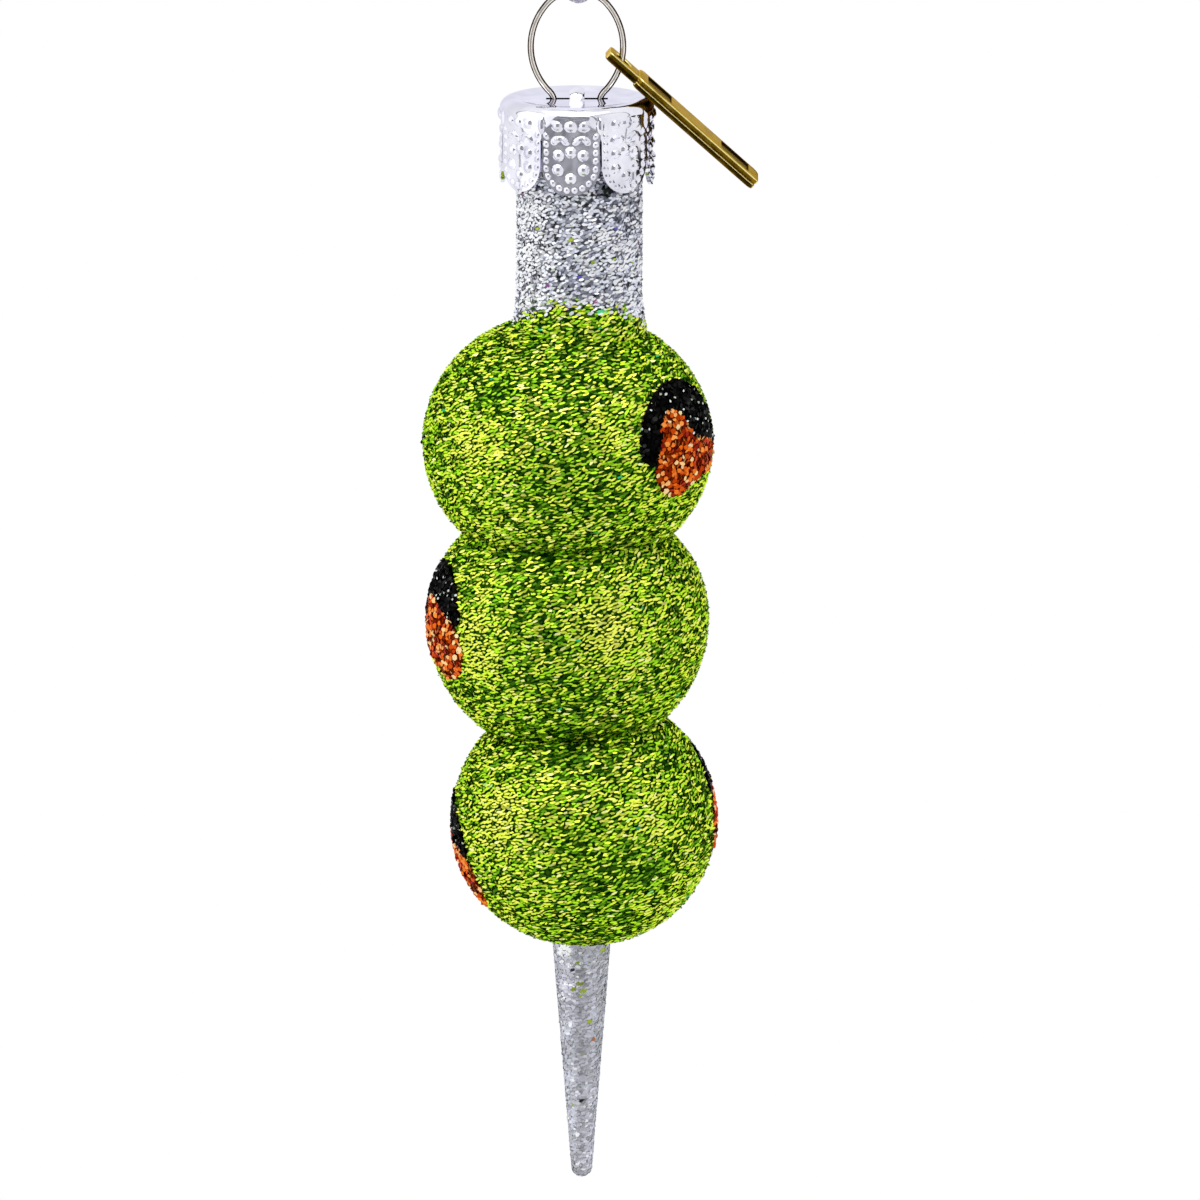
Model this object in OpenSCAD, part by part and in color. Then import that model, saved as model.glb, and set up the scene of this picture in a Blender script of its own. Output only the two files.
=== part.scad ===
// Glass ornament: three glittered olives on a cocktail pick, with a stamped
// crown cap, a wire hanger, a hang tag and a short loop of cord.
// Millimetres. +Z is up and -Y is the front. The origin is the inside top of
// the hanger's loop, where the ornament hangs.

/* [Olives] */
// Half-width of the upper olive over its glitter
upper_r = 12.6; // [11:0.05:15]
// Height of the upper olive above its widest line
upper_top = 11; // [10:0.1:12.7]
// Depth of the upper olive below its widest line
upper_bottom = 10.8; // [10:0.1:12.7]
// Sideways shift of the upper olive from the hanger's axis
upper_x = -0.8; // [-1.5:0.1:1.5]
// Half-width of the middle olive over its glitter
middle_r = 12.25; // [11:0.05:15]
// Height of the middle olive above its widest line
middle_top = 10.1; // [9.5:0.1:12.3]
// Depth of the middle olive below its widest line
middle_bottom = 12.1; // [10:0.1:12.3]
// Sideways shift of the middle olive from the hanger's axis
middle_x = -0.8; // [-1.5:0.1:1.5]
// Half-width of the lower olive over its glitter
lower_r = 11.5; // [10.5:0.05:15]
// Height of the lower olive above its widest line
lower_top = 11.5; // [9.5:0.1:11.6]
// Depth of the lower olive below its widest line
lower_bottom = 10.8; // [9.5:0.1:11.6]
// Sideways shift of the lower olive from the hanger's axis
lower_x = 0.6; // [-1.5:0.1:1.5]
// How far the upper and middle olives run into each other
upper_crease = 5.3; // [3:0.1:7]
// How far the middle and lower olives run into each other
lower_crease = 5.5; // [3:0.1:7]

/* [Neck and pick] */
// Radius of the neck over its glitter
neck_r = 5.4; // [5.2:0.05:6]
// Length of the neck from its rim to the upper olive
neck_length = 19.95; // [17:0.1:24]
// Sideways shift of the neck from the hanger's axis
neck_x = 0.2; // [-0.3:0.1:0.3]
// How much the neck widens where it meets the upper olive
neck_flare = 0.4; // [0.3:0.1:1.2]
// Height of that widening
neck_flare_h = 2.4; // [1.5:0.1:4]
// Radius of the pick over its glitter where it leaves the lower olive
pick_r = 2.5; // [2.2:0.05:3]
// Radius of the pick over its glitter at its tip
pick_tip_r = 0.85; // [0.8:0.05:1.2]
// Length of the pick below the lower olive
pick_length = 21.2; // [18:0.1:30]
// Sideways shift of the pick from the hanger's axis
pick_x = 0.4; // [-1:0.1:1]
// Radius of the hollow in the pick where it closes
pick_hollow_r = 0.2; // [0.1:0.05:0.4]

/* [Glass and glitter] */
// Wall of the blown glass
glass_wall = 0.7; // [0.5:0.05:0.9]
// Thickness of the glitter on the olives
olive_coat = 0.3; // [0.2:0.05:0.5]
// Thickness of the glitter on the neck
neck_coat = 0.25; // [0.2:0.05:0.4]
// How far the neck's glitter runs up under the cap's petals
neck_lap = 2.5; // [1:0.1:4]
// Thickness of the glitter on the pick
pick_coat = 0.25; // [0.2:0.05:0.4]
// How far the pits and pimentos stand out of the green glitter
patch_proud = 0.12; // [0.05:0.01:0.25]
// Bond line between the glass and its glitter
bond = 0.02; // [0.01:0.01:0.05]

/* [Pits and pimentos] */
// Radius of the black patch round a pit
pit_r = 5.9; // [5.2:0.1:6.2]
// Height of the middle of a pit's patch on its olive
pit_drop = -0.9; // [-1.5:0.1:0.5]
// Height on its olive where the black of a pit's patch ends
pit_end = -3.6; // [-4.2:0.1:-2.5]
// Radius of the curve along the lower end of the black
pit_foot_r = 8; // [7:0.1:10]
// Radius of the wide middle of a pimento
pimento_r = 2.9; // [2.4:0.1:3.2]
// Sideways place of a pimento's wide middle
pimento_x = -0.2; // [-0.5:0.1:0.5]
// Height of a pimento's wide middle
pimento_up = -2.1; // [-2.5:0.1:-1.5]
// Radius of the rounded top of a pimento
pimento_tip_r = 1.65; // [1.2:0.05:1.9]
// Sideways place of a pimento's rounded top
pimento_tip_x = 0.5; // [0:0.1:1]
// Height of a pimento's rounded top
pimento_tip_up = 1; // [0.5:0.1:1.5]
// Radius of the toe at the lower side of a pimento
pimento_toe_r = 1.4; // [1:0.05:1.7]
// Sideways place of a pimento's toe
pimento_toe_x = 5.2; // [4:0.1:5.4]
// Height of a pimento's toe
pimento_toe_up = -2; // [-2.5:0.1:-1.5]

/* [Crown cap] */
// Outer radius of the cap at its shoulder
cap_r = 6.75; // [6.6:0.05:7.5]
// How much the petals flare out at their ends
cap_flare = 0.2; // [0.1:0.05:0.5]
// Height of the cap from its top to the petals' ends
cap_h = 7.6; // [7:0.1:9]
// Thickness of the cap's sheet
cap_sheet = 0.3; // [0.2:0.05:0.4]
// Outer radius of the cap's rounded shoulder
shoulder_r = 0.9; // [0.6:0.05:1.2]
// Number of petals
petals = 8; // [6:1:10]
// Length of the slits between the petals
slit_length = 5; // [4:0.1:5.6]
// Width of the slits between the petals
slit_w = 0.2; // [0.1:0.05:0.4]
// How far the petals are turned about the cap's axis
petal_turn = -4.7; // [-20:0.1:20]
// Width of the raised strap on the top of the cap
strap_w = 1.3; // [1:0.1:1.6]
// Height of the raised strap above the top of the cap
strap_rise = 0.9; // [0.7:0.05:1.1]
// Outer radius of the strap's arch
strap_r = 1.75; // [1.5:0.05:2]

/* [Wire hanger] */
// Diameter of the wire
wire_d = 0.55; // [0.4:0.05:0.7]
// Half-width of the loop on the wire's middle line
loop_a = 4.03; // [3.8:0.01:4.4]
// Half-height of the loop on the wire's middle line
loop_b = 4.93; // [4.8:0.01:5.5]
// Radius of the loop's top and bottom
loop_r = 3.5; // [3:0.05:3.7]
// Height of the loop's centre above the top of the cap
loop_up = 4.5; // [4.5:0.05:5.2]
// Angle below the horizontal where the wire leaves the loop
leave_angle = 46; // [42:1:52]
// Radius of the bend from the loop into a leg
bend_r = 1.5; // [1.2:0.05:1.8]
// Length of the straight of each leg
leg_length = 11; // [8:0.5:13]

/* [Hang tag] */
// Length of the tag's body
tag_length = 13.9; // [10:0.1:18]
// Width of the body at the tongue
tag_w = 4.8; // [4.4:0.1:7]
// Width of the body at its far end
tag_end_w = 4.4; // [4:0.1:7]
// Thickness of the tag's body
tag_sheet = 1.05; // [0.85:0.05:1.15]
// Thickness of the tongue
tongue_sheet = 0.8; // [0.5:0.05:0.8]
// Width of the tongue that hangs on the wire
tongue_w = 3.2; // [2.8:0.1:4]
// Distance from the hole to the tag's body
tongue_length = 1.8; // [1.5:0.1:3]
// Distance from the hole to the tongue's end
tongue_tip = 1.5; // [1.3:0.1:2]
// Where the tag hangs on the loop, below its widest line
tag_at = 15.4; // [12:0.1:18]
// Slope of the tag below the horizontal
tag_slope = 41.8; // [38:0.1:43]
// Radius of the tag's corners
tag_corner = 0.4; // [0.2:0.05:0.8]

/* [Cord] */
// Diameter of the cord
cord_d = 0.8; // [0.6:0.05:0.8]
// Radius of the knot
knot_r = 1.3; // [1.2:0.05:1.6]
// How far the knot's flat end reaches past the cord
knot_lip = 0.1; // [0.05:0.01:0.2]
// Length of the cord's two loose ends above the knot
tail_length = 3.5; // [2:0.1:6]

/* [Clearances] */
// Gap between the cap's underside and the rim of the glass
rim_gap = 0.05; // [0.02:0.01:0.1]
// Gap on each side of the wire in the cap's slot
slot_gap = 0.15; // [0.1:0.01:0.25]
// Gap between a leg and the end of the slot, where it leans
lean_gap = 0.45; // [0.3:0.01:0.75]
// Gap between the ends of the legs and the inside of the neck
leg_gap = 0.45; // [0.4:0.05:0.8]
// Gap round the wire in the tag's hole
tag_hole_gap = 0.55; // [0.45:0.05:0.6]
// Gap round each pit and pimento
patch_gap = 0.03; // [0.02:0.01:0.06]

/* [Hidden] */
$fn = 96;
// Overrun of a cut past the face that it leaves
over = 1;
// How far the neck and the pick run on into the olives
root_depth = 2;
// How much wider than the wire the beads in its bends are
bead = 0.005;
// How far the round of a petal's end runs past the cap's bottom, which leaves a small flat
petal_flat = 0.06;
// Turn between two points on the cap's rounded shoulder
shoulder_step = 15;
// Sides of the rounds of a pimento
patch_sides = 32;
// Share of the wide middle's radius where the toe starts
toe_root = 0.8;

// Heights, from the hanger's loop down to the tip of the pick
wire_r = wire_d / 2;
loop_z = wire_r - loop_b;
cap_z = loop_z - loop_up;
rim_z = cap_z - cap_sheet - rim_gap;
neck_end_z = rim_z - neck_length;
upper_z = neck_end_z - reach(upper_r, upper_top, neck_r);
middle_z = upper_z - upper_bottom - middle_top + upper_crease;
lower_z = middle_z - middle_bottom - lower_top + lower_crease;
pick_z = lower_z - reach(lower_r, lower_bottom, pick_r);
bore_r = neck_r - neck_coat - glass_wall;

// Each olive: shift, height, half-width, rise above and drop below its widest line
upper = [upper_x, upper_z, upper_r, upper_top, upper_bottom];
middle = [middle_x, middle_z, middle_r, middle_top, middle_bottom];
lower = [lower_x, lower_z, lower_r, lower_top, lower_bottom];

// Each patch: its direction round the olive from the front, its tilt, 1 or -1 for the
// side away from the pimento's toe, how far the black lies to the side, how much higher
// the black ends, and how far the pimento's top lies over to its toe and lower
upper_front = [52, 8, -1, 1.2, 0, [0, 0]];
upper_back = [-130, 2, -1, 1.2, 0, [0, 0]];
middle_left = [-64.3, 2.5, 1, -2.8, 1.8, [3.4, 0.6]];
middle_back = [122, -2, -1, 1.2, 0, [0, 0]];
lower_left = [-78.5, -13, 1, -2.8, 1.8, [3.4, 0.6]];
lower_right = [95, 13, -1, 2.8, 1.8, [3.4, 0.6]];

// Middles of the pimento's three rounds, seen square on
pimento_mid = [pimento_x, pimento_up];
pimento_tip = [pimento_tip_x, pimento_tip_up];
pimento_toe = [pimento_toe_x, pimento_toe_up];

// Height over an olive's widest line where it is as wide as a stem
function reach(r, h, stem) = sqrt(h * h - pow(stem - (r - h), 2));

// The loop is an oval of four arcs
loop_c = loop_b - loop_r;
loop_side_r = (loop_c * loop_c + loop_a * loop_a - loop_r * loop_r) / (2 * (loop_a - loop_r));
loop_side_x = loop_side_r - loop_a;
loop_join = atan2(loop_c, loop_side_x);

// The legs spring outwards inside the neck
bend_at = (loop_r + bend_r) * [cos(leave_angle), -sin(leave_angle)];
leg_reach = bore_r - abs(neck_x) - leg_gap - wire_r;
leg_splay = asin((leg_reach - bend_at[0] + bend_r) / leg_length);
leg_start = bend_at - bend_r * [cos(leg_splay), sin(leg_splay)];

// The slot holds both legs, with room for them to lean
slot_w = wire_d + 2 * slot_gap;
slot_half = bend_at[0] - bend_r + wire_r + lean_gap;

// Where the tag hangs on the wire
tag_x = loop_side_r * cos(tag_at) - loop_side_x;
tag_z = loop_z - loop_side_r * sin(tag_at);
tag_hole_r = wire_r + tag_hole_gap;

// The cord's route up one side, as distance from the middle and height
cord_turn = -45;
cord_route = [
    [0, -0.45], [0.6, -0.35], [1.15, 0], [1.5, 0.55], [1.6, 1.15], [1.65, 2.5],
    [1.6, 4.5], [1.4, 6.5], [1.1, 8.5], [0.8, 10.5], [0.55, 12.5], [0.45, 13.5], [0.45, 14]
];
cord_sides = 8;
cord_last = len(cord_route) - 1;
cord_path = concat(
    [for (i = [cord_last:-1:1]) [-cord_route[i][0], cord_route[i][1]]],
    cord_route
);
knot_z = cord_route[cord_last][1];
knot_flat = cord_route[cord_last][0] + cord_d / 2 + knot_lip;
knot_lift = sqrt(knot_r * knot_r - knot_flat * knot_flat);
tail_lean = 22;

// Half of an olive's outline, from its widest line to its top
module half_outline(r, h) {
    intersection() {
        translate([r - h, 0]) circle(h);
        square([r, h]);
    }
    if (r > h) square([r - h, h]);
}

// A whole olive, drawn in from its glitter's surface by inset
module olive(o, inset) {
    translate([o[0], 0, o[1]]) rotate_extrude() {
        half_outline(o[2] - inset, o[3] - inset);
        mirror([0, 1]) half_outline(o[2] - inset, o[4] - inset);
    }
}

module neck(inset, top) {
    root = neck_end_z - root_depth;
    translate([neck_x, 0, root]) {
        cylinder(h = top - root, r = neck_r - inset);
        cylinder(h = root_depth, r = neck_r + neck_flare - inset);
        translate([0, 0, root_depth])
            cylinder(h = neck_flare_h, r1 = neck_r + neck_flare - inset, r2 = neck_r - inset);
    }
}

// The pick tapers to a round tip
module pick(inset) {
    taper = pick_length - pick_tip_r;
    translate([pick_x, 0, pick_z]) {
        translate([0, 0, -taper])
            cylinder(h = taper, r1 = pick_tip_r - inset, r2 = pick_r - inset);
        cylinder(h = root_depth, r = pick_r - inset);
        translate([0, 0, -taper]) sphere(pick_tip_r - inset);
    }
}

// The hollow in the pick closes before its tip
module pick_hollow() {
    top_r = pick_r - pick_coat - glass_wall;
    slope = (pick_r - pick_tip_r) / (pick_length - pick_tip_r);
    depth = (top_r - pick_hollow_r) / slope;
    translate([pick_x, 0, pick_z - depth]) {
        cylinder(h = depth, r1 = pick_hollow_r, r2 = top_r);
        translate([0, 0, depth]) cylinder(h = root_depth + glass_wall, r = top_r);
    }
}

// The glass without its hollow, grown by a bond line where glitter is cut to it
module glass_outside(grow) {
    neck(neck_coat - grow, rim_z);
    for (o = [upper, middle, lower]) olive(o, olive_coat - grow);
    pick(pick_coat - grow);
}

module glass_body() {
    color("lightblue") difference() {
        glass_outside(0);
        translate([neck_x, 0, upper_z]) cylinder(h = rim_z - upper_z + over, r = bore_r);
        for (o = [upper, middle, lower]) olive(o, olive_coat + glass_wall);
        pick_hollow();
    }
}

// The neck's glitter ends under the cap's petals
module neck_glitter() {
    color("silver") difference() {
        neck(0, cap_z - cap_h + neck_lap);
        glass_outside(bond);
        olive(upper, -bond);
    }
}

module pick_glitter() {
    color("gainsboro") difference() {
        pick(0);
        glass_outside(bond);
        olive(lower, -bond);
    }
}

// A pimento seen square on: a wide middle, a rounded top and a toe
module pimento_outline(patch, grow) {
    lean = patch[2];
    top = pimento_tip - patch[5];
    hull() {
        translate([-lean * pimento_mid[0], pimento_mid[1]])
            circle(pimento_r + grow, $fn = patch_sides);
        translate([lean * top[0], top[1]])
            circle(pimento_tip_r + grow, $fn = patch_sides);
    }
    hull() {
        translate([-lean * pimento_mid[0], pimento_mid[1]])
            circle(toe_root * pimento_r + grow, $fn = patch_sides);
        translate([-lean * pimento_toe[0], pimento_toe[1]])
            circle(pimento_toe_r + grow, $fn = patch_sides);
    }
}

// The black round a pit before its pimento is cut out
module pit_blank(patch, grow) {
    intersection() {
        translate([patch[3], pit_drop]) circle(pit_r + grow);
        translate([patch[3], pit_end + patch[4] + pit_foot_r]) circle(pit_foot_r + grow);
    }
}

// The black round a pit, over the top of its pimento
module pit_outline(patch) {
    difference() {
        pit_blank(patch, 0);
        pimento_outline(patch, patch_gap);
    }
}

// A flat outline carried square through the side of an olive
module through_side(o, patch) {
    inner = o[2] / 2;
    translate([o[0], 0, o[1]]) rotate([0, 0, patch[0] - 90]) rotate([0, -patch[1], 0])
        translate([inner, 0, 0]) rotate([90, 0, 90]) linear_extrude(inner + over) children();
}

module patch_skin(o) {
    difference() {
        olive(o, -patch_proud);
        olive(o, olive_coat - bond);
    }
}

module pit(o, patch) {
    color("black") intersection() {
        patch_skin(o);
        through_side(o, patch) pit_outline(patch);
    }
}

module pimento(o, patch) {
    color("orangered") intersection() {
        patch_skin(o);
        through_side(o, patch) pimento_outline(patch, 0);
    }
}

// The pockets in an olive's green glitter for its two patches
module pockets(o, patches) {
    for (patch = patches) through_side(o, patch) {
        pit_blank(patch, patch_gap);
        pimento_outline(patch, patch_gap);
    }
}

module upper_olive_glitter() {
    color("olivedrab") difference() {
        olive(upper, 0);
        glass_outside(bond);
        olive(middle, -bond);
        pockets(upper, [upper_front, upper_back]);
    }
}

module middle_olive_glitter() {
    color("olivedrab") difference() {
        olive(middle, 0);
        glass_outside(bond);
        pockets(middle, [middle_left, middle_back]);
    }
}

module lower_olive_glitter() {
    color("olivedrab") difference() {
        olive(lower, 0);
        glass_outside(bond);
        olive(middle, -bond);
        pockets(lower, [lower_left, lower_right]);
    }
}

// The cap's outline without its hollow, drawn in by inset
module cap_outline(inset, bottom) {
    wall = cap_r + cap_flare - inset;
    polygon([
        [0, -inset],
        for (a = [90:-shoulder_step:0])
            [cap_r - shoulder_r, -shoulder_r] + (shoulder_r - inset) * [cos(a), sin(a)],
        [wall, -cap_h], [wall, bottom], [0, bottom]
    ]);
}

// What is cut away between two petals: a slit, and the corners below it
module petal_cut() {
    pitch = (cap_r + cap_flare) * sin(180 / petals);
    translate([-slit_w / 2, -cap_h - over]) square([slit_w, slit_length + over]);
    difference() {
        translate([petal_flat - pitch, -cap_h - over])
            square([2 * (pitch - petal_flat), pitch - petal_flat + over]);
        for (side = [-1, 1]) translate([side * pitch, pitch - petal_flat - cap_h]) circle(pitch);
    }
}

// An arched strap stands over the slots, pressed up out of the sheet
module strap_arch(r) {
    translate([-strap_w / 2, 0, strap_rise - strap_r]) rotate([0, 90, 0])
        cylinder(h = strap_w, r = r);
}

module crown_cap() {
    color("silver") translate([0, 0, cap_z]) difference() {
        union() {
            rotate_extrude() cap_outline(0, -cap_h);
            strap_arch(strap_r);
        }
        difference() {
            rotate_extrude() cap_outline(cap_sheet, -cap_h - over);
            intersection() {
                strap_arch(strap_r);
                translate([0, 0, -cap_sheet]) cylinder(h = cap_sheet + strap_rise, r = cap_r / 2);
            }
        }
        strap_arch(strap_r - cap_sheet);
        for (side = [-1, 1]) translate([side * (slot_half + strap_w / 2) / 2, 0, 0])
            cube([slot_half - strap_w / 2, slot_w, 4 * cap_sheet], center = true);
        for (i = [0:petals - 1]) rotate([0, 0, (i + 0.5) * 360 / petals + petal_turn - 90])
            translate([cap_r / 2, 0, 0]) rotate([90, 0, 90]) linear_extrude(cap_r) petal_cut();
    }
}

// A bent stretch of wire in the plane of the loop. It meets the stretch before it
// inside a bead that is a hair wider than the wire
module wire_arc(x, z, r, from, to) {
    translate([x, 0, z]) rotate([90, 0, 0]) rotate([0, 0, from]) {
        rotate_extrude(angle = to - from) translate([r, 0]) circle(wire_r);
        translate([r, 0, 0]) sphere(wire_r + bead);
        rotate([0, 0, to - from]) translate([r, 0, 0]) sphere(wire_r + bead);
    }
}

module half_hanger() {
    wire_arc(0, loop_c, loop_r, loop_join, 90);
    wire_arc(-loop_side_x, 0, loop_side_r, -loop_join, loop_join);
    wire_arc(0, -loop_c, loop_r, -leave_angle, -loop_join);
    wire_arc(bend_at[0], bend_at[1] - loop_c, bend_r, 180 - leave_angle, 180 + leg_splay);
    translate([leg_start[0], 0, leg_start[1] - loop_c]) rotate([0, 180 - leg_splay, 0])
        cylinder(h = leg_length, r = wire_r);
}

module wire_hanger() {
    color("dimgray") translate([0, 0, loop_z]) {
        half_hanger();
        mirror([1, 0, 0]) half_hanger();
    }
}

// One side of the tag's body seen square on, with its length along X and the hole at the origin
function body_side(side) = [
    [tongue_length, side * (tag_w / 2 - tag_corner)],
    [tongue_length + tag_corner, side * tag_w / 2],
    [tongue_length + tag_length - tag_corner, side * tag_end_w / 2],
    [tongue_length + tag_length, side * (tag_end_w / 2 - tag_corner)]
];

// A plate of this thickness with its middle on the outline
module plate(sheet) {
    translate([0, 0, -sheet / 2]) linear_extrude(sheet) children();
}

module tag_body() {
    far = body_side(1);
    plate(tag_sheet) polygon(concat(body_side(-1), [for (i = [len(far) - 1:-1:0]) far[i]]));
}

// The tongue runs into the body and has the hole for the wire
module tag_tongue() {
    plate(tongue_sheet) difference() {
        translate([-tongue_tip, -tongue_w / 2])
            square([tongue_tip + tongue_length + tag_corner, tongue_w]);
        circle(tag_hole_r);
    }
}

module hang_tag() {
    color("goldenrod") translate([tag_x, 0, tag_z]) rotate([0, tag_slope, 0]) {
        tag_body();
        tag_tongue();
    }
}

// A ring of points round the cord, square to its route
function cord_ring(i) =
    let (
        before = cord_path[max(i - 1, 0)],
        after = cord_path[min(i + 1, len(cord_path) - 1)],
        way = (after - before) / norm(after - before),
        p = cord_path[i]
    )
    [for (k = [0:cord_sides - 1])
        let (c = cord_d / 2 * cos(k * 360 / cord_sides), s = cord_d / 2 * sin(k * 360 / cord_sides))
        [p[0] - s * way[1], c, p[1] + s * way[0]]];

module hanging_cord() {
    rings = len(cord_path);
    points = [for (i = [0:rings - 1]) each cord_ring(i)];
    sides = [for (i = [0:rings - 2], k = [0:cord_sides - 1])
        let (a = i * cord_sides + k, b = i * cord_sides + (k + 1) % cord_sides)
        each [[a, a + cord_sides, b], [b, a + cord_sides, b + cord_sides]]];
    first = [for (k = [0:cord_sides - 1]) k];
    last = [for (k = [cord_sides - 1:-1:0]) (rings - 1) * cord_sides + k];
    color("lightgray") rotate([0, 0, cord_turn]) polyhedron(points, concat(sides, [first, last]));
}

module cord_knot() {
    color("lightgray") translate([0, 0, knot_z + knot_lift]) rotate([0, 0, cord_turn]) {
        difference() {
            sphere(knot_r);
            translate([0, 0, -knot_lift - knot_r]) cylinder(h = knot_r, r = knot_r);
        }
        for (side = [-1, 1]) rotate([0, side * tail_lean, 0])
            cylinder(h = knot_r + tail_length, r = cord_d / 2);
    }
}

glass_body();
neck_glitter();
upper_olive_glitter();
middle_olive_glitter();
lower_olive_glitter();
pick_glitter();
pit(upper, upper_front);  // upper_front_pit
pit(upper, upper_back);  // upper_back_pit
pit(middle, middle_left);  // middle_left_pit
pit(middle, middle_back);  // middle_back_pit
pit(lower, lower_left);  // lower_left_pit
pit(lower, lower_right);  // lower_right_pit
pimento(upper, upper_front);  // upper_front_pimento
pimento(upper, upper_back);  // upper_back_pimento
pimento(middle, middle_left);  // middle_left_pimento
pimento(middle, middle_back);  // middle_back_pimento
pimento(lower, lower_left);  // lower_left_pimento
pimento(lower, lower_right);  // lower_right_pimento
crown_cap();
wire_hanger();
hang_tag();
hanging_cord();
cord_knot();
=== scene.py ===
import bpy, bmesh, math
import numpy as np
from mathutils import Matrix, Vector


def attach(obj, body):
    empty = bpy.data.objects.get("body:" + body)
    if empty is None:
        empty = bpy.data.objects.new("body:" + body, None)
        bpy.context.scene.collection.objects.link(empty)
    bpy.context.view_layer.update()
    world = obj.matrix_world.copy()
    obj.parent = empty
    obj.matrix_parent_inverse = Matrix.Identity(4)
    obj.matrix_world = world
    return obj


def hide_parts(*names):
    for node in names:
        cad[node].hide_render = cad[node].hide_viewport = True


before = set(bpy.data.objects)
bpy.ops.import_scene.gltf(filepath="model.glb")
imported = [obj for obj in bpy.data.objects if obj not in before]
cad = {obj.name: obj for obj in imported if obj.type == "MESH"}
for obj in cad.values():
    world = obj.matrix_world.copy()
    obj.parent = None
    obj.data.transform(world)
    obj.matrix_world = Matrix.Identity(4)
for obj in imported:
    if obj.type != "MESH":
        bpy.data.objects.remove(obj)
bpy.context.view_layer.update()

mm = 0.001
print("frame loaded:", len(cad), "solids")


# Nodes: a socket that takes part in sums, and a material that makes nodes

class Link:
    def __init__(self, finish, socket):
        self.finish = finish
        self.socket = socket

    def sum(self, operation, first, second):
        return self.finish.node("Math", {"operation": operation}, {0: first, 1: second})

    def __add__(self, other):
        return self.sum("ADD", self, other)

    def __radd__(self, other):
        return self.sum("ADD", other, self)

    def __sub__(self, other):
        return self.sum("SUBTRACT", self, other)

    def __rsub__(self, other):
        return self.sum("SUBTRACT", other, self)

    def __mul__(self, other):
        return self.sum("MULTIPLY", self, other)

    def __rmul__(self, other):
        return self.sum("MULTIPLY", other, self)

    def __gt__(self, other):
        return self.sum("GREATER_THAN", self, other)

    def __lt__(self, other):
        return self.sum("LESS_THAN", self, other)


class Finish:
    def __init__(self, name, owner=None):
        self.owner = owner or bpy.data.materials.new(name)
        self.owner.use_nodes = True
        self.tree = self.owner.node_tree
        self.tree.nodes.clear()

    def node(self, kind, settings=None, sockets=None, output=0):
        made = self.tree.nodes.new("ShaderNode" + kind)
        for key, value in (settings or {}).items():
            if key == "stops":
                ramp = made.color_ramp.elements
                while len(ramp) < len(value):
                    ramp.new(0.5)
                for element, (at, colour) in zip(ramp, value):
                    element.position = at
                    element.color = colour
            else:
                setattr(made, key, value)
        for key, value in (sockets or {}).items():
            if isinstance(value, Link):
                self.tree.links.new(value.socket, made.inputs[key])
            else:
                made.inputs[key].default_value = value
        return Link(self, made.outputs[output]) if made.outputs else None

    def place(self):
        return self.node("TexCoord", output="Object")

    def noise(self, scale, detail=2.0, rough=0.5):
        return self.node("TexNoise", None, {"Vector": self.place(), "Scale": scale, "Detail": detail,
                                            "Roughness": rough})

    def ramp(self, stops, value):
        return self.node("ValToRGB", {"stops": stops}, {0: value})

    def mixed(self, share, first, second):
        return self.node("Mix", {"data_type": "RGBA"}, {"Factor": share, 6: first, 7: second}, 2)

    def bump(self, strength, depth, height):   # depth in mm
        return self.node("Bump", None, {"Strength": strength, "Distance": depth * mm, "Height": height})

    def surface(self, sockets):
        shader = self.node("BsdfPrincipled", None, sockets)
        self.node("OutputMaterial", None, {"Surface": shader})
        return self.owner


# A screen colour as the shader wants it
def paint(red, green, blue):
    part = [c / 255 for c in (red, green, blue)]
    return tuple(c / 12.92 if c <= 0.04045 else ((c + 0.055) / 1.055) ** 2.4 for c in part) + (1,)


def newPiece(name, mesh, body, finish, smooth=True):
    piece = bpy.data.objects.new(name, mesh)
    bpy.context.scene.collection.objects.link(piece)
    mesh.materials.append(finish)
    for face in mesh.polygons:
        face.use_smooth = smooth
    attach(piece, body)
    return piece


def dress(node, finish):
    slots = cad[node].data.materials
    slots.clear()
    slots.append(finish)


# Camera, light and backdrop

view = {
    "aim": (2.01, 0, -53.84),   # middle of the picture, mm
    "rise": 11,                 # degrees above the horizon
    "away": 2.6,
    "across": 0.105,            # width of the picture at the ornament
    "pixels": 1200,             # columns and rows of the picture
    "sensor": 36,
    "nearest": 0.01,            # where the camera begins to see
}


def makeCamera():
    camera = bpy.data.objects.new("camera", bpy.data.cameras.new("camera"))
    bpy.context.scene.collection.objects.link(camera)
    rise = math.radians(view["rise"])
    back = Vector((0, -math.cos(rise), math.sin(rise)))
    camera.location = Vector(view["aim"]) * mm + back * view["away"]
    camera.rotation_euler = (-back).to_track_quat("-Z", "Y").to_euler()
    camera.data.sensor_width = view["sensor"]
    camera.data.lens = view["sensor"] * view["away"] / view["across"]
    camera.data.clip_start = view["nearest"]
    bpy.context.scene.camera = camera


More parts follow.
